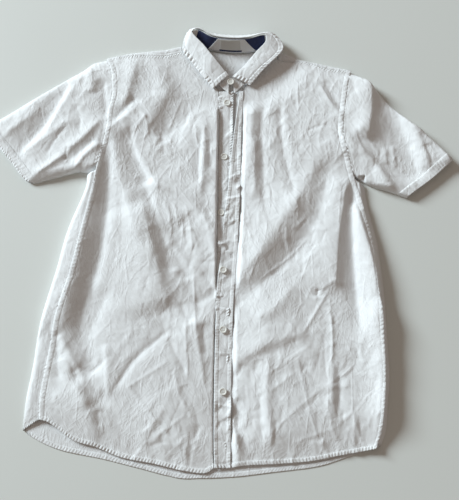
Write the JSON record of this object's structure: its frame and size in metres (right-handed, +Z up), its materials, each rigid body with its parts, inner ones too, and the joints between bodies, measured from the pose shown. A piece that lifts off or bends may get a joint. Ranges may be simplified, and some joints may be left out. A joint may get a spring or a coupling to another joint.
{
  "type": "crumpled button-up shirt",
  "caption": "Short-sleeved cotton button-up shirt lying crumpled on its back, with a turned-down collar, contrast lining inside the stand, placket and round buttons.",
  "frame": {"origin": "middle of the outline, on the surface the shirt lies on", "axes": "+Y from the hem towards the collar, +X from the wearer's right sleeve to the left, +Z up out of the shirt's front"},
  "size_m": [0.781, 0.7434, 0.0266],
  "materials": {
    "shirting": "white cotton poplin, matte, crumpled all over",
    "lining": "navy cotton, matte",
    "label": "pale grey woven label with nothing on it",
    "button": "off-white moulded buttons with a soft gloss"
  },
  "bodies": {
    "root": {"back": "shirting", "yoke": "shirting", "front_right": "shirting", "front_left": "shirting", "button_band": "shirting", "placket": "shirting", "sleeve_right": "shirting", "sleeve_left": "shirting", "collar_stand": "shirting", "collar_fall": "shirting", "stand_lining": "lining", "stand_panel": "shirting", "blank_label": "label", "neck_tape": "lining", "button_stand": "button", "button_1": "button", "button_2": "button", "button_3": "button", "button_4": "button", "button_5": "button", "button_6": "button"}
  },
  "joints": []
}
